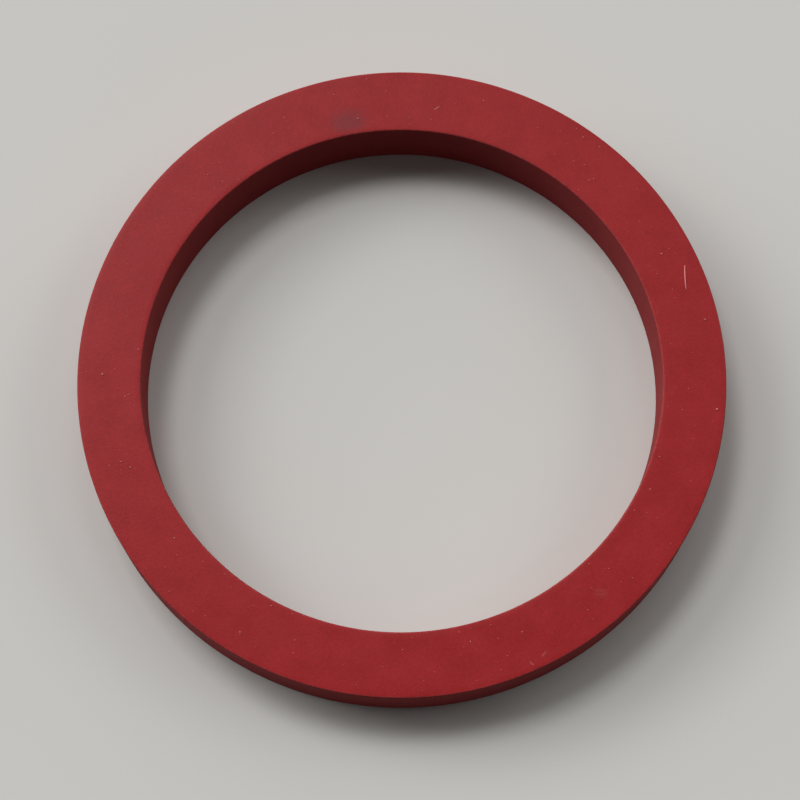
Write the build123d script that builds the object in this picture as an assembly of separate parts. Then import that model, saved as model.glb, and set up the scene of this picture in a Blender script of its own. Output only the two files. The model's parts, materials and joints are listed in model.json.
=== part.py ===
"""Flat silicone ring gasket of rectangular section, in one piece.

The ring seals between two flat faces that are clamped together. It is pushed into a round
recess, which holds it by its rim, and its bore slips over a round spigot. Its upper and lower
faces are the two sealing faces, and it is the same either way up.

Frame: the origin is on the bore's axis, in the plane of the lower face, and +Z points out of
the upper face. Lengths are in millimetres.
"""

from build123d import *
import os

# Driving dimensions
BORE_DIAMETER = 57.8  # the hole that the spigot goes through
FACE_WIDTH = 7.1  # each sealing face, from the bore out to the rim
THICKNESS = 8.0  # from one sealing face to the other, unclamped
EDGE_RADIUS = 0.2  # all four edges are softened to this radius

# What follows from them
MEAN_RADIUS = (BORE_DIAMETER + FACE_WIDTH) / 2  # the middle of the sealing face
LARGEST_EDGE_RADIUS = 0.45 * min(FACE_WIDTH, THICKNESS)  # leaves a flat on each side


def section():
    """The ring's section, on the XZ plane with its lower side on Z = 0: an edge-softened rectangle."""
    block = Pos(MEAN_RADIUS, THICKNESS / 2) * Rectangle(FACE_WIDTH, THICKNESS)
    softened = fillet(block.vertices(), min(EDGE_RADIUS, LARGEST_EDGE_RADIUS))
    return Plane.XZ * softened


def gasket_ring():
    """The whole gasket: its section carried once round the bore's axis."""
    return revolve(section(), Axis.Z, 360)


os.makedirs("parts", exist_ok=True)
export_step(gasket_ring(), "parts/gasket_ring.step")
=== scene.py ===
"""Studio scene of a flat silicone ring gasket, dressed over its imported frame.

The ring's skin is one closed surface, a rectangular section with softened edges carried once round
the axis of the bore. Lint and dust lie on its upper face. Names that end in _mm and _deg say their
units, other lengths are in metres, and angles count from +X towards +Y.
"""

import json
import logging
import math
from dataclasses import astuple, dataclass
from enum import Enum
from typing import Any

import bpy
import numpy as np
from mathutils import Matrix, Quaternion, Vector
from numpy.typing import NDArray


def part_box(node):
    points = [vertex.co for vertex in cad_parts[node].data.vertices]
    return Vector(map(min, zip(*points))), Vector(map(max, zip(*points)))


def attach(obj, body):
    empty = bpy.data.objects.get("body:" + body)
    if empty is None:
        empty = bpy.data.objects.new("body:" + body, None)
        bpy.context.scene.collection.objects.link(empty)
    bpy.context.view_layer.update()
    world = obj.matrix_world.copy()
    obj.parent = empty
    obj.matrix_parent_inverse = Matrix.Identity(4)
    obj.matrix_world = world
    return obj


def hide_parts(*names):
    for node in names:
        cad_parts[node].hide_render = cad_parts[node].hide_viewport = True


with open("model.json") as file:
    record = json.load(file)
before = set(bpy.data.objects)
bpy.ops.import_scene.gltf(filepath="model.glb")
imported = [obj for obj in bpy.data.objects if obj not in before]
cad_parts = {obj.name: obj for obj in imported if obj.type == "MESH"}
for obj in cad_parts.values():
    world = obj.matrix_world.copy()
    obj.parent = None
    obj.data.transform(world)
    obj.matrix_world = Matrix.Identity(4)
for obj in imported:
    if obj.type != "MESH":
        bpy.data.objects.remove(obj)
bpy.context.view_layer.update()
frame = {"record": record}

MM = 0.001
BODY = "root"
NODE = "gasket_ring"

# A Mix node gives its sockets the same names for every kind of data, so colours go by number
MIX_FACTOR, MIX_A, MIX_B, MIX_RESULT = 0, 6, 7, 2

Array = NDArray[np.float64]
Colour = tuple[float, float, float, float]

log = logging.getLogger("gasket")


def linear(hex_colour: str) -> Colour:
    """Turns an sRGB colour into the linear one that a shader takes, by the standard's own curve.

    Args:
        hex_colour: a colour such as "#932C2E".

    Returns:
        Red, green, blue and an alpha of 1, all linear.
    """
    shares = [int(hex_colour[i : i + 2], 16) / 255 for i in (1, 3, 5)]
    red, green, blue = (s / 12.92 if s <= 0.04045 else ((s + 0.055) / 1.055) ** 2.4 for s in shares)
    return red, green, blue, 1.0


def add(
    tree: bpy.types.NodeTree,
    kind: str,
    inputs: dict[str | int, Any] | None = None,
    **settings: Any,
) -> bpy.types.Node:
    """Adds one node to a tree, with its settings, values and links.

    Args:
        tree: the tree that gets the node.
        kind: the node's type.
        inputs: what goes into its inputs, by name or number: an output socket to link, or a value.
        **settings: the node's own properties.

    Returns:
        The new node.
    """
    node = tree.nodes.new(kind)
    for name, value in settings.items():
        setattr(node, name, value)
    for key, value in (inputs or {}).items():
        if isinstance(value, bpy.types.NodeSocket):
            tree.links.new(value, node.inputs[key])
        else:
            node.inputs[key].default_value = value
    return node


def new_tree(name: str) -> tuple[bpy.types.Material, bpy.types.NodeTree]:
    """Makes an empty material.

    Args:
        name: the material's name.

    Returns:
        The material and its node tree, with no nodes in it.
    """
    material = bpy.data.materials.new(name)
    material.use_nodes = True
    material.node_tree.nodes.clear()
    return material, material.node_tree


def millimetres(tree: bpy.types.NodeTree) -> bpy.types.NodeSocket:
    """Gives the Object coordinates in millimetres.

    With these, a noise's scale is one over the size of its grain.

    Args:
        tree: the material's tree.

    Returns:
        The socket that holds them.
    """
    place = add(tree, "ShaderNodeTexCoord")
    return add(
        tree,
        "ShaderNodeVectorMath",
        {0: place.outputs["Object"], "Scale": 1 / MM},
        operation="SCALE",
    ).outputs[0]


def seen_directly(tree: bpy.types.NodeTree) -> bpy.types.NodeSocket:
    """Tells what the camera sees, in gloss or through glass too, from what only lights the part.

    Args:
        tree: the tree of a floor's or a world's material.

    Returns:
        A socket that is 1 for what is seen and 0 for what lights.
    """
    ray = add(tree, "ShaderNodeLightPath")
    seen = ray.outputs["Is Camera Ray"]
    for other in ("Is Glossy Ray", "Is Transmission Ray"):
        either = add(tree, "ShaderNodeMath", {0: seen, 1: ray.outputs[other]}, operation="MAXIMUM")
        seen = either.outputs[0]
    return seen


# ---------------------------------------------------------------- surfaces


def grid_corners(
    rows: int, columns: int, rows_closed: bool, columns_closed: bool
) -> NDArray[np.int64]:
    """Gives the grid places of every quad's four corners.

    Args:
        rows: how many rows of points the grid has.
        columns: how many points each row has.
        rows_closed: whether the last row joins the first.
        columns_closed: whether each row's last point joins its first.

    Returns:
        Quads x 4 corners x (row, column). A corner past the end of a closed side isn't wrapped yet.
    """
    row, column = np.meshgrid(
        np.arange(rows if rows_closed else rows - 1),
        np.arange(columns if columns_closed else columns - 1),
        indexing="ij",
    )
    first = np.stack([row.ravel(), column.ravel()], -1)
    steps = np.array([(0, 0), (1, 0), (1, 1), (0, 1)])
    return first[:, None, :] + steps[None, :, :]


def vertex_numbers(corners: NDArray[np.int64], rows: int, columns: int) -> NDArray[np.int64]:
    """Turns grid places into vertex numbers, with closed sides wrapped round.

    Args:
        corners: grid places as (row, column) on the last axis.
        rows: how many rows of points the grid has.
        columns: how many points each row has.

    Returns:
        The vertex numbers, row after row.
    """
    return (corners[..., 0] % rows) * columns + corners[..., 1] % columns


def skin(name: str, points: Array, faces: list[list[int]]) -> bpy.types.Object:
    """Makes a smooth-shaded mesh object at the origin.

    Args:
        name: the piece's name.
        points: vertices x 3, in metres, in the frame's own axes.
        faces: each face's vertex numbers, anticlockwise from outside.

    Returns:
        The object, linked into the scene.
    """
    mesh = bpy.data.meshes.new(name)
    mesh.from_pydata(points.tolist(), [], faces)
    mesh.polygons.foreach_set("use_smooth", np.ones(len(mesh.polygons), bool))
    mesh.update()
    piece = bpy.data.objects.new(name, mesh)
    bpy.context.scene.collection.objects.link(piece)
    return piece


def closed_lumps(rings: Array, tips: Array) -> tuple[Array, list[list[int]]]:
    """Joins several like lumps, each a stack of rings closed by a tip at each end.

    Args:
        rings: lumps x rings x points round a ring x 3. Seen from the first tip, a ring's points run
            anticlockwise, so that the faces look outwards.
        tips: lumps x 2 x 3, the tip before the first ring and the one after the last.

    Returns:
        The vertices, and the faces with quads between rings and triangles at the tips.
    """
    lumps, stack, around = rings.shape[:3]
    size = stack * around + 2
    points = np.concatenate([rings.reshape(lumps, -1, 3), tips], 1).reshape(-1, 3)
    quads = vertex_numbers(grid_corners(stack, around, False, True), stack, around)
    step = np.arange(around)
    after = (step + 1) % around
    first_tip = np.stack([np.full(around, size - 2), step, after], -1)
    last_ring = (stack - 1) * around
    last_tip = np.stack([np.full(around, size - 1), last_ring + after, last_ring + step], -1)
    shift = (np.arange(lumps) * size)[:, None, None]
    sides = (quads[None] + shift).reshape(-1, 4).tolist()
    ends = (np.concatenate([first_tip, last_tip])[None] + shift).reshape(-1, 3).tolist()
    return points, sides + ends


# ---------------------------------------------------------------- finishes


@dataclass(frozen=True)
class Mark:
    """A mark on the upper face: an oval with soft, broken borders.

    Attributes:
        angle_deg: where it lies round the ring.
        radius_mm: how far it lies from the axis.
        length_mm: its long side.
        width_mm: its short side.
        bearing_deg: which way its long side points.
        colour: what it leaves on the rubber.
        strength: how much of that colour covers the rubber at its middle, from 0 to 1.
        streak_mm: the width of the fine strokes it is made of, along its long side.
        gaps: how bare the rubber is between the strokes, from 0 to 1.
        core: how far out it keeps its full strength, as a share of the way to its border.
        stroke_aspect: how many times as long as wide a stroke is.
        stroke_detail: how many finer layers roughen the strokes.
        stroke_range: the noise's values at which a gap ends and at which a stroke is whole.
    """

    angle_deg: float
    radius_mm: float
    length_mm: float
    width_mm: float
    bearing_deg: float
    colour: str
    strength: float
    streak_mm: float
    gaps: float
    core: float = 0.2
    stroke_aspect: float = 6.0
    stroke_detail: float = 2.0
    stroke_range: tuple[float, float] = (0.35, 0.65)

    def lay(
        self,
        tree: bpy.types.NodeTree,
        place: bpy.types.NodeSocket,
        under: bpy.types.NodeSocket,
        top_mm: float,
    ) -> bpy.types.NodeSocket:
        """Lays the mark over a colour.

        Args:
            tree: the material's tree.
            place: the Object coordinates in millimetres.
            under: the colour under the mark.
            top_mm: how high the upper face lies.

        Returns:
            The colour with the mark on it.
        """
        angle = math.radians(self.angle_deg)
        centre = (self.radius_mm * math.cos(angle), self.radius_mm * math.sin(angle), top_mm)
        turn = (0.0, 0.0, math.radians(self.bearing_deg))
        # In these coordinates the oval's border lies one unit from its middle
        oval = add(
            tree,
            "ShaderNodeMapping",
            {
                "Vector": place,
                "Location": centre,
                "Rotation": turn,
                "Scale": (self.length_mm / 2, self.width_mm / 2, 1.0),
            },
            vector_type="TEXTURE",
        )
        reach = add(tree, "ShaderNodeVectorMath", {0: oval.outputs[0]}, operation="LENGTH")
        inside = add(
            tree,
            "ShaderNodeMapRange",
            {
                "Value": reach.outputs["Value"],
                "From Min": 1.0,
                "From Max": self.core,
                "To Max": self.strength,
            },
            interpolation_type="SMOOTHSTEP",
        )
        # Strokes: a noise whose grain is as wide as a stroke and several times as long
        stroke_length = self.stroke_aspect * self.streak_mm
        grain = add(
            tree,
            "ShaderNodeMapping",
            {
                "Vector": place,
                "Rotation": turn,
                "Scale": (stroke_length, self.streak_mm, self.streak_mm),
            },
            vector_type="TEXTURE",
        )
        noise = add(
            tree,
            "ShaderNodeTexNoise",
            {"Vector": grain.outputs[0], "Scale": 1.0, "Detail": self.stroke_detail},
        )
        gap_ends, whole = self.stroke_range
        broken = add(
            tree,
            "ShaderNodeMapRange",
            {
                "Value": noise.outputs[0],
                "From Min": gap_ends,
                "From Max": whole,
                "To Min": 1 - self.gaps,
            },
        )
        cover = add(
            tree,
            "ShaderNodeMath",
            {0: inside.outputs[0], 1: broken.outputs[0]},
            operation="MULTIPLY",
        )
        return add(
            tree,
            "ShaderNodeMix",
            {MIX_FACTOR: cover.outputs[0], MIX_A: under, MIX_B: linear(self.colour)},
            data_type="RGBA",
        ).outputs[MIX_RESULT]


@dataclass(frozen=True)
class MouldedSilicone:
    """Solid pigmented silicone rubber, compression moulded in a steel tool with a blasted finish.

    The blasted steel leaves a fine dead-matt grain, so the rubber has no gloss, only a weak neutral
    veil that is stronger towards the light. The walls were drawn out of their cavity, which leaves
    them duller than the two sealing faces, and a flat grey is mixed into their colour as a painted
    reflection of the floor in them. The filler gives slow clouds in the tone, a dusty bloom settles
    on what faces up, and handling rubs the edges paler.

    Attributes:
        name: the material's name.
        pigment: the rubber's tone where the clouds are palest.
        pigment_deep: its tone where they are deepest.
        bloom: the colour of the dusty bloom.
        wall_reflection_grey: the grey mixed into the walls as a painted reflection of the floor.
        rubbed: the colour of the rubbed edges.
        refractive_index: silicone rubber's.
        specular_level: how strong the veil is, where 0.5 is what the index gives.
        face_roughness: how matt the sealing faces are.
        wall_roughness: how matt the walls are.
        roughness_swing: how far the clouds can move either of these.
        cloud_mm: the clouds' size.
        cloud_detail: how many finer layers the clouds have.
        cloud_fineness: how strong each finer layer is beside the one before.
        cloud_range: the clouds' values at which the tone is deepest and palest.
        grain_mm: the grain's size.
        grain_detail: how many finer layers the grain has.
        grain_height_mm: how deep the grain is.
        grain_tone: how far the grain moves the tone, as a share of it.
        usual_range: the values between which a noise mostly lies.
        bloom_cover: how much of the rubber the bloom covers, from 0 to 1.
        bloom_swing: how far that strays with the clouds, as a share of it.
        wall_reflection_cover: how much of the walls' colour the painted reflection's grey takes.
        wall_reflection_swing: how far that strays with the clouds.
        rubbed_cover: how much of the edges is rubbed.
        rubbed_swing: how far that strays with the grain.
        marks: what handling has left on the upper face.
    """

    name: str = "moulded_red_silicone"
    pigment: str = "#971E22"
    pigment_deep: str = "#8D1D20"
    bloom: str = "#C9A29E"
    # The grey of the painted reflection of the floor on the walls
    wall_reflection_grey: str = "#7B7977"
    rubbed: str = "#B9504F"
    refractive_index: float = 1.41
    specular_level: float = 0.16
    face_roughness: float = 0.37
    wall_roughness: float = 0.8
    roughness_swing: float = 0.04
    cloud_mm: float = 3.5
    cloud_detail: float = 4.0
    cloud_fineness: float = 0.6
    cloud_range: tuple[float, float] = (0.25, 0.75)
    # The real grain is about 0.03 mm, which is too fine to show, so it is drawn coarser
    grain_mm: float = 0.22
    grain_detail: float = 2.0
    grain_height_mm: float = 0.012
    grain_tone: float = 0.1
    usual_range: tuple[float, float] = (0.3, 0.7)
    bloom_cover: float = 0.006
    bloom_swing: float = 1.0
    # How strongly the walls take the painted reflection's grey
    wall_reflection_cover: float = 0.12
    wall_reflection_swing: float = 0.2
    rubbed_cover: float = 0.22
    rubbed_swing: float = 1.0
    marks: tuple[Mark, ...] = (
        # A greasy fingerprint's rest, near the bore
        Mark(101.2, 30.6, 5.8, 4.3, 0.0, "#6B3033", strength=0.66, streak_mm=0.5, gaps=0.35),
        # Where something dry rubbed over the face
        Mark(311.0, 32.7, 2.4, 1.6, -12.0, "#B8605C", strength=0.2, streak_mm=0.14, gaps=1.0),
        Mark(293.2, 35.1, 0.9, 0.4, -42.0, "#C4706A", strength=0.36, streak_mm=0.12, gaps=0.7),
        Mark(295.9, 34.75, 1.2, 0.4, 45.0, "#C4706A", strength=0.36, streak_mm=0.12, gaps=0.7),
    )

    def material(self, top_mm: float) -> bpy.types.Material:
        """Builds the rubber's material.

        Args:
            top_mm: how high the upper face lies, for the marks on it.

        Returns:
            The material.
        """
        material, tree = new_tree(self.name)
        place = millimetres(tree)
        clouds = add(
            tree,
            "ShaderNodeTexNoise",
            {
                "Vector": place,
                "Scale": 1 / self.cloud_mm,
                "Detail": self.cloud_detail,
                "Roughness": self.cloud_fineness,
            },
        )
        grain = add(
            tree,
            "ShaderNodeTexNoise",
            {"Vector": place, "Scale": 1 / self.grain_mm, "Detail": self.grain_detail},
        )
        deepest, palest = self.cloud_range
        depth = add(
            tree,
            "ShaderNodeMapRange",
            {"Value": clouds.outputs[0], "From Min": deepest, "From Max": palest},
        )
        tone = add(
            tree,
            "ShaderNodeMix",
            {
                MIX_FACTOR: depth.outputs[0],
                MIX_A: linear(self.pigment_deep),
                MIX_B: linear(self.pigment),
            },
            data_type="RGBA",
        ).outputs[MIX_RESULT]
        # Between the ends of its usual range the grain makes the tone deeper or paler by grain_tone
        lowest, highest = self.usual_range
        speckle = add(
            tree,
            "ShaderNodeMapRange",
            {
                "Value": grain.outputs[0],
                "From Min": lowest,
                "From Max": highest,
                "To Min": 1 - self.grain_tone,
                "To Max": 1 + self.grain_tone,
            },
        )
        tone = add(
            tree,
            "ShaderNodeVectorMath",
            {0: tone, "Scale": speckle.outputs[0]},
            operation="SCALE",
        ).outputs[0]
        tone = self.weather_and_paint_reflection(tree, clouds.outputs[0], grain.outputs[0], tone)
        for mark in self.marks:
            tone = mark.lay(tree, place, tone, top_mm)
        upright = add(tree, "ShaderNodeAttribute", attribute_name="upright")
        matt = add(
            tree,
            "ShaderNodeMapRange",
            {
                "Value": upright.outputs["Fac"],
                "To Min": self.face_roughness,
                "To Max": self.wall_roughness,
            },
        )
        # The clouds' noise lies between 0 and 1, and a half leaves the roughness as it is
        uneven = add(
            tree,
            "ShaderNodeMath",
            {0: clouds.outputs[0], 1: 2 * self.roughness_swing, 2: -self.roughness_swing},
            operation="MULTIPLY_ADD",
        )
        matt = add(tree, "ShaderNodeMath", {0: matt.outputs[0], 1: uneven.outputs[0]}, operation="ADD")
        relief = add(
            tree,
            "ShaderNodeBump",
            {"Height": grain.outputs[0], "Distance": self.grain_height_mm * MM, "Strength": 1.0},
        )
        shader = add(
            tree,
            "ShaderNodeBsdfPrincipled",
            {
                "Base Color": tone,
                "Roughness": matt.outputs[0],
                "IOR": self.refractive_index,
                "Specular IOR Level": self.specular_level,
                "Normal": relief.outputs[0],
            },
        )
        add(tree, "ShaderNodeOutputMaterial", {"Surface": shader.outputs[0]})
        return material

    def weather_and_paint_reflection(
        self,
        tree: bpy.types.NodeTree,
        clouds: bpy.types.NodeSocket,
        grain: bpy.types.NodeSocket,
        tone: bpy.types.NodeSocket,
    ) -> bpy.types.NodeSocket:
        """Lays the bloom on what faces up and the painted reflection's grey on the walls, and rubs the
        edges paler.

        Args:
            tree: the material's tree.
            clouds: the slow noise.
            grain: the fine noise.
            tone: the rubber's own colour.

        Returns:
            The colour with its bloom, its rubbed edges and the painted reflection on the walls.
        """
        lowest, highest = self.usual_range
        for attribute, cover, swing, colour, pattern in (
            ("upward", self.bloom_cover, self.bloom_swing, self.bloom, clouds),
            # the walls get a flat grey mixed in: a painted reflection of the floor, not a coat on the
            # rubber
            ("upright", self.wall_reflection_cover, self.wall_reflection_swing, self.wall_reflection_grey, clouds),
            ("edge", self.rubbed_cover, self.rubbed_swing, self.rubbed, grain),
        ):
            where = add(tree, "ShaderNodeAttribute", attribute_name=attribute)
            broken = add(
                tree,
                "ShaderNodeMapRange",
                {
                    "Value": pattern,
                    "From Min": lowest,
                    "From Max": highest,
                    "To Min": cover * (1 - swing),
                    "To Max": cover * (1 + swing),
                },
            )
            share = add(
                tree,
                "ShaderNodeMath",
                {0: where.outputs["Fac"], 1: broken.outputs[0]},
                operation="MULTIPLY",
            )
            tone = add(
                tree,
                "ShaderNodeMix",
                {MIX_FACTOR: share.outputs[0], MIX_A: tone, MIX_B: linear(colour)},
                data_type="RGBA",
            ).outputs[MIX_RESULT]
        return tone


@dataclass(frozen=True)
class LooseFibre:
    """Short cotton or paper fibre and skin dust, dry and pale, tinted a little by the red below.

    Such stuff scatters light through itself, so it has hardly any gloss and a slightly uneven tone.

    Attributes:
        name: the material's name.
        pale: its palest tone.
        shaded: its deepest tone.
        tone_mm: how far a tone reaches before it changes.
        roughness: how matt it is.
        specular_level: how strong its gloss is.
    """

    name: str
    pale: str
    shaded: str
    tone_mm: float
    roughness: float = 0.9
    specular_level: float = 0.2

    def material(self) -> bpy.types.Material:
        """Builds the fibre's material.

        Returns:
            The material.
        """
        material, tree = new_tree(self.name)
        noise = add(
            tree, "ShaderNodeTexNoise", {"Vector": millimetres(tree), "Scale": 1 / self.tone_mm}
        )
        tone = add(
            tree,
            "ShaderNodeMix",
            {MIX_FACTOR: noise.outputs[0], MIX_A: linear(self.shaded), MIX_B: linear(self.pale)},
            data_type="RGBA",
        )
        shader = add(
            tree,
            "ShaderNodeBsdfPrincipled",
            {
                "Base Color": tone.outputs[MIX_RESULT],
                "Roughness": self.roughness,
                "Specular IOR Level": self.specular_level,
            },
        )
        add(tree, "ShaderNodeOutputMaterial", {"Surface": shader.outputs[0]})
        return material


@dataclass(frozen=True)
class MattBoard:
    """Pale matt display board: an even, dry surface with no pattern and hardly any gloss.

    Attributes:
        name: the material's name.
        colour: its palest tone.
        shaded: its deepest tone.
        bounce: the darker colour with which it lights the part.
        cloud_mm: how far a tone reaches before it changes.
        roughness: how matt it is.
        specular_level: how strong its gloss is.
    """

    name: str = "pale_matt_board"
    colour: str = "#CFCDC9"
    shaded: str = "#CBC9C5"
    bounce: str = "#6C6A68"
    cloud_mm: float = 60.0
    roughness: float = 0.85
    specular_level: float = 0.2

    def material(self) -> bpy.types.Material:
        """Builds the board's material.

        Returns:
            The material.
        """
        material, tree = new_tree(self.name)
        clouds = add(
            tree, "ShaderNodeTexNoise", {"Vector": millimetres(tree), "Scale": 1 / self.cloud_mm}
        )
        tone = add(
            tree,
            "ShaderNodeMix",
            {MIX_FACTOR: clouds.outputs[0], MIX_A: linear(self.shaded), MIX_B: linear(self.colour)},
            data_type="RGBA",
        )
        lit = add(
            tree,
            "ShaderNodeMix",
            {
                MIX_FACTOR: seen_directly(tree),
                MIX_A: linear(self.bounce),
                MIX_B: tone.outputs[MIX_RESULT],
            },
            data_type="RGBA",
        )
        shader = add(
            tree,
            "ShaderNodeBsdfPrincipled",
            {
                "Base Color": lit.outputs[MIX_RESULT],
                "Roughness": self.roughness,
                "Specular IOR Level": self.specular_level,
            },
        )
        add(tree, "ShaderNodeOutputMaterial", {"Surface": shader.outputs[0]})
        return material


# ---------------------------------------------------------------- the ring


class Corner(Enum):
    """The section's corners in the order in which it is drawn, anticlockwise.

    Each holds 1 or 0 for the rim's side or the bore's, 1 or 0 for the upper face's side or the
    lower one's, and the angle at which its arc begins, in degrees from pointing outwards.
    """

    LOWER_RIM = (1, 0, -90.0)
    UPPER_RIM = (1, 1, 0.0)
    UPPER_BORE = (0, 1, 90.0)
    LOWER_BORE = (0, 0, 180.0)


@dataclass(frozen=True)
class Lobes:
    """One regular swelling of a nearly round edge.

    Attributes:
        count: how many lobes there are in a turn.
        height_mm: how far each stands out, and how far the edge draws in between them.
        peak_deg: where one of them lies.
    """

    count: int
    height_mm: float
    peak_deg: float

    def swelling(self, angle: Array) -> Array:
        """Gives the outward offset in metres at each angle, a cosine with its crest at the peak."""
        return self.height_mm * MM * np.cos(self.count * (angle - math.radians(self.peak_deg)))


@dataclass
class SiliconeRing:
    """The gasket itself, in place of the plain solid: its section varies a little on its way round.

    Attributes:
        bore_radius: from the axis to the bore's wall.
        rim_radius: from the axis to the rim's wall.
        thickness: from one sealing face to the other.
        edge_mm: the radius that the four edges are softened to.
        edge_wander_mm: how far that radius strays from place to place.
        wander_shares: how much of that is slow waves, and how much is quick ones.
        ripple_mm: how far the upper face rises and falls.
        rim_lobes: how the rim has gone out of round since it was moulded.
        bore_lobes: the same for the bore.
        steps_round: points in one turn.
        steps_on_arc: points on each softened edge.
        steps_on_flat: points between two softened edges.
        finish: the rubber.
    """

    bore_radius: float
    rim_radius: float
    thickness: float
    edge_mm: float = 0.2
    edge_wander_mm: float = 0.04
    wander_shares: tuple[float, float] = (0.4, 0.6)
    ripple_mm: float = 0.01
    rim_lobes: tuple[Lobes, ...] = (Lobes(3, 0.04, 100.0),)
    bore_lobes: tuple[Lobes, ...] = (Lobes(2, 0.05, 180.0), Lobes(3, 0.04, 100.0))
    steps_round: int = 720
    steps_on_arc: int = 8
    steps_on_flat: int = 11
    finish: MouldedSilicone = MouldedSilicone()

    def section(self, angle: Array) -> tuple[Array, Array, Array]:
        """Draws the section at each angle round the axis.

        Each corner is a quarter circle whose middle lies one edge radius in from both sides, and
        straight lines join one arc's end to the next one's start. The edge radius is a steady one
        plus a cosine with three waves a turn and one with eleven, which a third swells and fades.

        Args:
            angle: the angles round the axis, in radians, as a column.

        Returns:
            Angles x points: the distance from the axis, the height, and the direction in which
            each point of the surface faces, in radians from pointing outwards.
        """
        slow, quick = self.wander_shares
        edge = (self.edge_mm + self.edge_wander_mm * slow * np.cos(3 * angle + 1.0)) * MM
        edge = edge + self.edge_wander_mm * MM * quick * np.cos(11 * angle + 2.0) * np.cos(2 * angle)
        radial, height, facing = [], [], []
        for corner in Corner:
            outer, upper, start_deg = corner.value
            middle_r = self.rim_radius - edge if outer else self.bore_radius + edge
            middle_z = self.thickness - edge if upper else edge
            turn = np.radians(start_deg + np.linspace(0, 90, self.steps_on_arc))[None, :]
            radial.append(middle_r + edge * np.cos(turn))
            height.append(middle_z + edge * np.sin(turn))
            facing.append(turn + 0 * angle)
        between = np.linspace(0, 1, self.steps_on_flat + 2)[None, 1:-1]
        blocks: list[tuple[Array, Array, Array]] = []
        for here in range(len(Corner)):
            there = (here + 1) % len(Corner)
            blocks.append((radial[here], height[here], facing[here]))
            line = [
                part[here][:, -1:] + (part[there][:, :1] - part[here][:, -1:]) * between
                for part in (radial, height)
            ]
            blocks.append((line[0], line[1], facing[here][:, -1:] + 0 * between))
        radial_whole, height_whole, facing_whole = (np.concatenate(parts, 1) for parts in zip(*blocks))
        return radial_whole, height_whole, facing_whole

    def build(self) -> bpy.types.Object:
        """Carries the section round the axis and closes the surface on itself.

        The rim's and the bore's lobes are added to the distance from the axis, shared out evenly
        across the width. The ripple is a product of two waves, seven and twelve to a turn, that
        slant across the face, and it fades to nothing at the lower face, which lies flat.

        Returns:
            The ring as a mesh object, with the attributes upward, upright and edge for its finish.
        """
        angle = np.linspace(0, 2 * np.pi, self.steps_round, endpoint=False)[:, None]
        radial, height, facing = self.section(angle)
        across = (radial - self.bore_radius) / (self.rim_radius - self.bore_radius)
        rim_offset = sum(lobe.swelling(angle) for lobe in self.rim_lobes)
        bore_offset = sum(lobe.swelling(angle) for lobe in self.bore_lobes)
        radial = radial + bore_offset + (rim_offset - bore_offset) * across
        waves = np.sin(7 * angle + 4 * across) * np.cos(12 * angle - 3 * across)
        height = height + self.ripple_mm * MM * waves * height / self.thickness
        points = np.stack([radial * np.cos(angle), radial * np.sin(angle), height], -1)
        rows, columns = points.shape[:2]
        corners = grid_corners(rows, columns, True, True)
        faces = vertex_numbers(corners, rows, columns).tolist()
        ring = skin("silicone_ring", points.reshape(-1, 3), faces)
        self.unwrap(ring, corners, rows, columns)
        self.note(ring, "upward", np.clip(np.sin(facing), 0, 1))
        self.note(ring, "upright", np.abs(np.cos(facing)))
        self.note(ring, "edge", np.abs(np.sin(2 * facing)))
        return ring

    def unwrap(
        self, ring: bpy.types.Object, corners: NDArray[np.int64], rows: int, columns: int
    ) -> None:
        """Gives the ring its UV map: once round the ring is U, once round the section is V.

        Args:
            ring: the mesh object.
            corners: every quad's corners as grid places, not wrapped, so that the seams stay whole.
            rows: how many rows of points the grid has.
            columns: how many points each row has.
        """
        layer = ring.data.uv_layers.new(name="round_and_across")
        shares = corners.reshape(-1, 2) / np.array([rows, columns])
        layer.data.foreach_set("uv", shares.astype(np.float32).ravel())

    def note(self, ring: bpy.types.Object, name: str, values: Array) -> None:
        """Stores one number a vertex on the ring, under a name that its material reads."""
        attribute = ring.data.attributes.new(name, "FLOAT", "POINT")
        attribute.data.foreach_set("value", values.astype(np.float32).ravel())

    def dress(self, ring: bpy.types.Object) -> None:
        """Gives the ring its rubber, and puts it in the place of the plain solid.

        Args:
            ring: the mesh object.
        """
        ring.data.materials.append(self.finish.material(self.thickness / MM))
        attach(ring, BODY)
        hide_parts(NODE)


# ---------------------------------------------------------------- what lies on it


@dataclass(frozen=True)
class Fibre:
    """One fibre on the upper face.

    Attributes:
        angle_deg: where its middle lies round the ring.
        radius_mm: how far its middle lies from the axis.
        length_mm: its length.
        thick_mm: its thickness.
        bearing_deg: which way it points.
        bow_mm: how far its middle stands out to the left of the line between its ends.
        taper: how much thinner it is at its far end, from 0 to 1.
    """

    angle_deg: float
    radius_mm: float
    length_mm: float
    thick_mm: float
    bearing_deg: float
    bow_mm: float
    taper: float


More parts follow.
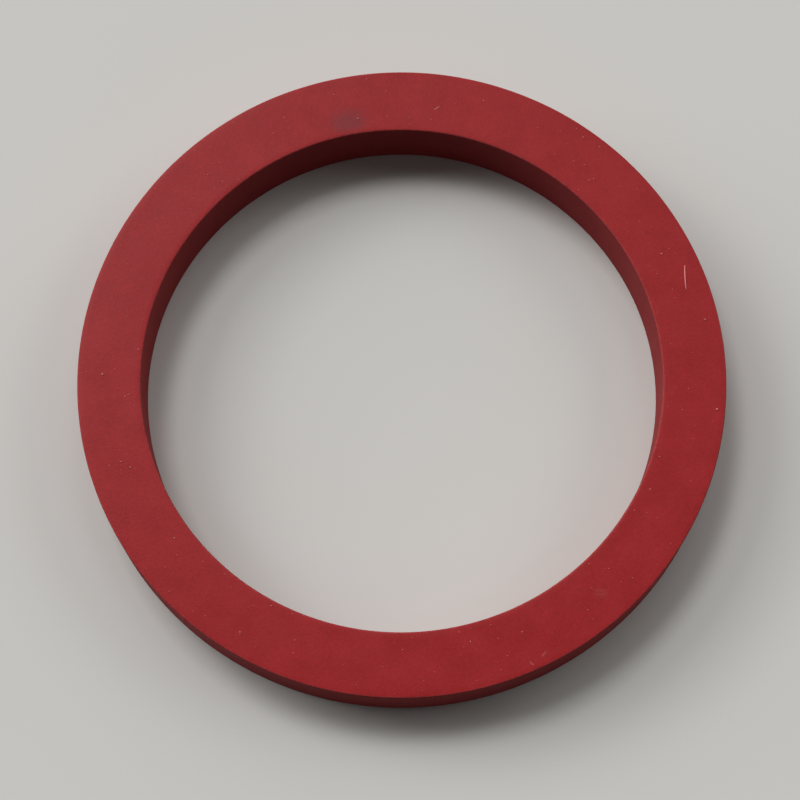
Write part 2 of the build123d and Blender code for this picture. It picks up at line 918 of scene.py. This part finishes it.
@dataclass
class LintFibres:
    """Lint caught on the tacky upper face: one long fibre that shows, and a short one.

    Attributes:
        top: how high the upper face lies.
        fibres: the fibres.
        raised: how far above the face a fibre's middle lies, as a share of its thickness.
        steps_along: rings of points along a fibre.
        steps_around: points round each ring.
        finish: the fibre's stuff.
    """

    top: float
    fibres: tuple[Fibre, ...] = (
        Fibre(19.2, 33.75, 2.95, 0.16, bearing_deg=-89.0, bow_mm=-0.05, taper=0.4),
        Fibre(82.5, 31.85, 0.8, 0.08, bearing_deg=35.0, bow_mm=-0.04, taper=0.2),
    )
    raised: float = 0.2
    steps_along: int = 25
    steps_around: int = 8
    finish: LooseFibre = LooseFibre("cotton_lint", "#E89493", "#D67E7D", 0.3)

    def build(self) -> bpy.types.Object:
        """Carries a circle along each fibre's line, thinner towards both ends.

        The line is a shallow arch seen from above, its bow times one minus the square of the place
        along it, which runs from -1 to 1. The circle's radius falls off as the cube root of the
        same, and evenly with the taper on the way to the far end. The fibre's lower part lies in
        the face, because its middle is raised by less than half of its thickness.

        Returns:
            The fibres as one mesh object.
        """
        values = np.array([astuple(fibre) for fibre in self.fibres]).T[:, :, None, None]
        angle, reach, length, thick, bearing, bow, taper = values
        angle, bearing = np.radians(angle), np.radians(bearing)
        along = np.linspace(-1, 1, self.steps_along + 2)[None, 1:-1, None]
        around = np.linspace(0, 2 * np.pi, self.steps_around, endpoint=False)[None, None, :]
        thin = thick / 2 * np.cbrt(1 - along**2) * (1 - taper * (1 + along) / 2)
        forward = length / 2 * along + 0 * around
        sideways = bow * (1 - along**2) + thin * np.cos(around)
        upward = self.raised * thick - thin * np.sin(around)
        rings = self.place(angle, reach, bearing, forward, sideways, upward)
        ends = np.array([-1.0, 1.0])[None, :, None]
        level = self.raised * thick + 0 * ends
        tips = self.place(angle, reach, bearing, length / 2 * ends, 0 * ends, level)
        points, faces = closed_lumps(rings, tips[:, :, 0, :])
        return skin("lint_fibres", points, faces)

    def place(
        self,
        angle: Array,
        reach: Array,
        bearing: Array,
        forward: Array,
        sideways: Array,
        upward: Array,
    ) -> Array:
        """Turns places along, beside and above the fibres' lines into points of the frame.

        Args:
            angle: where each fibre's middle lies round the ring, in radians.
            reach: how far that middle lies from the axis, in millimetres.
            bearing: which way each fibre points, in radians.
            forward: the places along it, in millimetres.
            sideways: the places to its left.
            upward: the places above the face.

        Returns:
            The points, in metres, with x, y and z on a new last axis.
        """
        x = reach * np.cos(angle) + forward * np.cos(bearing) - sideways * np.sin(bearing)
        y = reach * np.sin(angle) + forward * np.sin(bearing) + sideways * np.cos(bearing)
        return np.stack(np.broadcast_arrays(x * MM, y * MM, self.top + upward * MM), -1)

    def dress(self, lint: bpy.types.Object) -> None:
        """Gives the lint its stuff, and lets it move with the ring."""
        lint.data.materials.append(self.finish.material())
        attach(lint, BODY)


@dataclass
class DustGrains:
    """Grains of dust on the upper face: the ones that catch the eye, and a scatter of finer ones.

    Attributes:
        top: how high the upper face lies.
        bore_radius: the face's inner border.
        rim_radius: the face's outer border.
        coarse_count: how many grains are large enough to catch the eye.
        coarse_mm: their smallest and largest size.
        fine_count: how many finer grains there are.
        fine_mm: their smallest and largest size.
        margin_mm: how far the grains' middles stay from the borders.
        bulge: how near to its middle and how far from it a grain's skin may lie, where 1 is even.
        slimness: how narrow and how wide a grain may be, as a share of its length.
        flatness: half of a grain's height, as a share of its size.
        raised: how far above the face its middle lies, as a share of its size.
        blunt: how far out its two tips lie, as a share of that half height.
        seed: what the scatter is drawn from.
        steps_down: rings of points on a grain.
        steps_around: points round each ring.
        finish: the grains' stuff.
    """

    top: float
    bore_radius: float
    rim_radius: float
    coarse_count: int = 24
    coarse_mm: tuple[float, float] = (0.17, 0.28)
    fine_count: int = 190
    fine_mm: tuple[float, float] = (0.07, 0.15)
    margin_mm: float = 0.4
    bulge: tuple[float, float] = (0.7, 1.1)
    slimness: tuple[float, float] = (0.6, 1.0)
    flatness: float = 0.35
    raised: float = 0.2
    blunt: float = 0.9
    seed: int = 11
    steps_down: int = 4
    steps_around: int = 8
    finish: LooseFibre = LooseFibre("house_dust", "#DB8884", "#C26B68", 0.1)

    def scatter(
        self, chance: np.random.Generator, count: int, sizes_mm: tuple[float, float]
    ) -> Array:
        """Spreads some grains evenly over the face.

        A grain's distance from the axis is the root of a number drawn evenly between the squares of
        the borders. Its size goes from the smallest to the largest with the square of an evenly
        drawn number, so that small grains are commoner.

        Args:
            chance: where the random numbers come from.
            count: how many grains there are.
            sizes_mm: the smallest and largest size.

        Returns:
            Grains x (angle in degrees, distance from the axis and size in millimetres).
        """
        inner = self.bore_radius / MM + self.margin_mm
        outer = self.rim_radius / MM - self.margin_mm
        angle = chance.uniform(0, 360, count)
        reach = np.sqrt(chance.uniform(inner**2, outer**2, count))
        small, large = sizes_mm
        size = small + (large - small) * chance.uniform(0, 1, count) ** 2
        return np.stack([angle, reach, size], -1)

    def build(self) -> bpy.types.Object:
        """Shapes all the grains at once, as lumps with uneven skins, sunk a little in the face.

        A grain starts as a sphere of latitudes and longitudes, is flattened and made narrower, and
        has each point but the two tips moved in or out by its own random share.

        Returns:
            The grains as one mesh object.
        """
        chance = np.random.default_rng(self.seed)
        grains = np.concatenate(
            [
                self.scatter(chance, self.coarse_count, self.coarse_mm),
                self.scatter(chance, self.fine_count, self.fine_mm),
            ]
        )
        angle, reach, size = grains.T[:, :, None, None]
        down = np.linspace(0, np.pi, self.steps_down + 2)[None, 1:-1, None]
        first = chance.uniform(0, 2 * np.pi, angle.shape)
        around = first + np.linspace(0, 2 * np.pi, self.steps_around, endpoint=False)[None, None, :]
        uneven = chance.uniform(*self.bulge, (len(grains), self.steps_down, self.steps_around))
        slim = chance.uniform(*self.slimness, angle.shape)
        x = size / 2 * uneven * np.sin(down) * np.cos(around)
        y = size / 2 * uneven * np.sin(down) * np.sin(around) * slim
        z = size * self.flatness * uneven * np.cos(down)
        middle_x = reach * np.cos(np.radians(angle))
        middle_y = reach * np.sin(np.radians(angle))
        middle_z = size * self.raised
        rings = np.stack([x + middle_x, y + middle_y, z + middle_z], -1)
        ends = np.array([1.0, -1.0])[None, :, None]
        tip_z = middle_z + size * self.flatness * self.blunt * ends
        tips = np.stack(np.broadcast_arrays(middle_x, middle_y, tip_z), -1)
        lift = np.array([0.0, 0.0, self.top])
        points, faces = closed_lumps(rings * MM + lift, tips[:, :, 0, :] * MM + lift)
        return skin("dust_grains", points, faces)

    def dress(self, dust: bpy.types.Object) -> None:
        """Gives the grains their stuff, and lets them move with the ring."""
        dust.data.materials.append(self.finish.material())
        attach(dust, BODY)


# ---------------------------------------------------------------- the studio


@dataclass(frozen=True)
class SoftBox:
    """An oblong soft light that looks at the part, its long side level.

    Attributes:
        name: the light's name.
        share: how much of a level surface's light it gives, where 1 shows a colour as it is.
        slope: how far to the right and how far behind the part it stands, for each metre of height.
        distance: how far it is from the part.
        width: its long side.
        depth: its short side.
    """

    name: str
    share: float
    slope: tuple[float, float]
    distance: float
    width: float
    depth: float

    def light(self) -> None:
        """Puts the light in place.

        Its power follows from its share: a small light of power P at distance d, at an elevation e,
        lights a level surface with P sin(e) / (pi d^2), and a light of pi shows a colour as it is.
        """
        away = Vector((*self.slope, 1.0)).normalized()
        lamp = bpy.data.lights.new(self.name, "AREA")
        lamp.shape = "RECTANGLE"
        lamp.size, lamp.size_y = self.width, self.depth
        lamp.energy = self.share * math.pi**2 * self.distance**2 / away.z
        stand = bpy.data.objects.new(self.name, lamp)
        stand.location = away * self.distance
        stand.rotation_mode = "QUATERNION"
        stand.rotation_quaternion = (-away).to_track_quat("-Z", "Y")
        bpy.context.scene.collection.objects.link(stand)


@dataclass(frozen=True)
class Studio:
    """A pale board to lie on, and soft light from behind, most of it on the left.

    Attributes:
        board: the floor's finish.
        floor_radius: how far the floor reaches.
        floor_steps: how many straight sides its border has.
        boxes: the soft lights.
        far_glow: how bright the room is straight behind the part, where 1 is white.
        near_glow: how bright it is in front of the part and overhead.
        backdrop: what is seen past the floor's border.
    """

    board: MattBoard = MattBoard()
    floor_radius: float = 1.5
    floor_steps: int = 96
    boxes: tuple[SoftBox, ...] = (
        SoftBox("middle_box", 0.29, (-0.3, 0.46), 6.0, 2.0, 1.6),
        SoftBox("right_box", 0.05, (0.2, 0.45), 6.0, 2.0, 1.6),
        SoftBox("left_box", 0.21, (-1.1, 0.7), 6.0, 3.2, 2.4),
        SoftBox("low_left_box", 0.09, (-2.2, 0.7), 6.0, 3.2, 2.4),
        SoftBox("low_right_box", 0.09, (1.2, 0.5), 6.0, 3.2, 2.4),
    )
    far_glow: float = 0.8
    near_glow: float = 0.06
    backdrop: str = "#C0BEBA"

    def lay_floor(self) -> None:
        """Lays a board under the part: a level polygon whose corners lie evenly on a circle."""
        turn = np.linspace(0, 2 * np.pi, self.floor_steps, endpoint=False)
        rim = self.floor_radius * np.stack([np.cos(turn), np.sin(turn), 0 * turn], -1)
        floor = skin("floor", rim, [list(range(self.floor_steps))])
        floor.data.materials.append(self.board.material())

    def light_up(self) -> None:
        """Puts the soft lights in place, with the room's glow and the backdrop that the camera sees.

        The glow rises evenly with how far a direction points to the back of the room.
        """
        for box in self.boxes:
            box.light()
        world = bpy.data.worlds.new("studio_glow")
        world.use_nodes = True
        tree = world.node_tree
        tree.nodes.clear()
        direction = add(tree, "ShaderNodeTexCoord")
        parts = add(tree, "ShaderNodeSeparateXYZ", {0: direction.outputs["Generated"]})
        glow = add(
            tree,
            "ShaderNodeMapRange",
            {"Value": parts.outputs["Y"], "To Min": self.near_glow, "To Max": self.far_glow},
        )
        room = add(
            tree,
            "ShaderNodeBackground",
            {"Color": (1, 1, 1, 1), "Strength": glow.outputs[0]},
        )
        backdrop = add(
            tree,
            "ShaderNodeBackground",
            {"Color": linear(self.backdrop), "Strength": 1.0},
        )
        chosen = add(
            tree,
            "ShaderNodeMixShader",
            {0: seen_directly(tree), 1: room.outputs[0], 2: backdrop.outputs[0]},
        )
        add(tree, "ShaderNodeOutputWorld", {"Surface": chosen.outputs[0]})
        bpy.context.scene.world = world


@dataclass(frozen=True)
class Viewpoint:
    """Where the part is looked at from: close by, a little in front and nearly straight down.

    Attributes:
        distance_mm: from the frame's origin to the lens.
        elevation_deg: how high the lens stands, in front of the part.
        focal_mm: the lens's focal length.
        sensor_mm: the film's width.
        aim_mm: the point on the floor at the middle of the picture.
        lean_deg: how far the camera's top leans to its right.
        nearest_mm: how near a thing may come and still show.
    """

    distance_mm: float = 268.94
    elevation_deg: float = 74.983
    focal_mm: float = 106.0
    sensor_mm: float = 36.0
    aim_mm: tuple[float, float, float] = (-0.19, -0.83, 0.0)
    lean_deg: float = 0.426
    nearest_mm: float = 10.0

    def set_camera(self) -> None:
        """Makes the scene's camera and aims it."""
        elevation = math.radians(self.elevation_deg)
        stand = Vector((0.0, -math.cos(elevation), math.sin(elevation))) * self.distance_mm * MM
        look = Vector(self.aim_mm) * MM - stand
        lens = bpy.data.cameras.new("camera")
        lens.lens = self.focal_mm
        lens.sensor_width = self.sensor_mm
        lens.clip_start = self.nearest_mm * MM
        camera = bpy.data.objects.new("camera", lens)
        camera.location = stand
        camera.rotation_mode = "QUATERNION"
        lean = Quaternion((0.0, 0.0, 1.0), -math.radians(self.lean_deg))
        camera.rotation_quaternion = look.to_track_quat("-Z", "Y") @ lean
        bpy.context.scene.collection.objects.link(camera)
        bpy.context.scene.camera = camera


# ---------------------------------------------------------------- putting it together


def bore_radius() -> float:
    """Gives the radius of the bore's wall in metres, as the record's mount states it."""
    mounts = {mount["name"]: mount for mount in frame["record"]["mounts"]}
    return mounts["bore"]["dims"]["r_mm"] * MM


def main() -> None:
    """Builds the pieces and the studio, in order, and reports each piece."""
    logging.basicConfig(level=logging.INFO, format="%(name)s: %(message)s")
    bpy.context.scene.view_settings.view_transform = "Standard"
    low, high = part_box(NODE)
    rim_radius, thickness = (high.x - low.x) / 2, high.z - low.z
    parts = (
        SiliconeRing(bore_radius(), rim_radius, thickness),
        LintFibres(high.z),
        DustGrains(high.z, bore_radius(), rim_radius),
    )
    for part in parts:
        piece = part.build()
        part.dress(piece)
        log.info("%s: %d faces", piece.name, len(piece.data.polygons))
    studio = Studio()
    studio.lay_floor()
    studio.light_up()
    Viewpoint().set_camera()


if __name__ == "__main__":
    main()
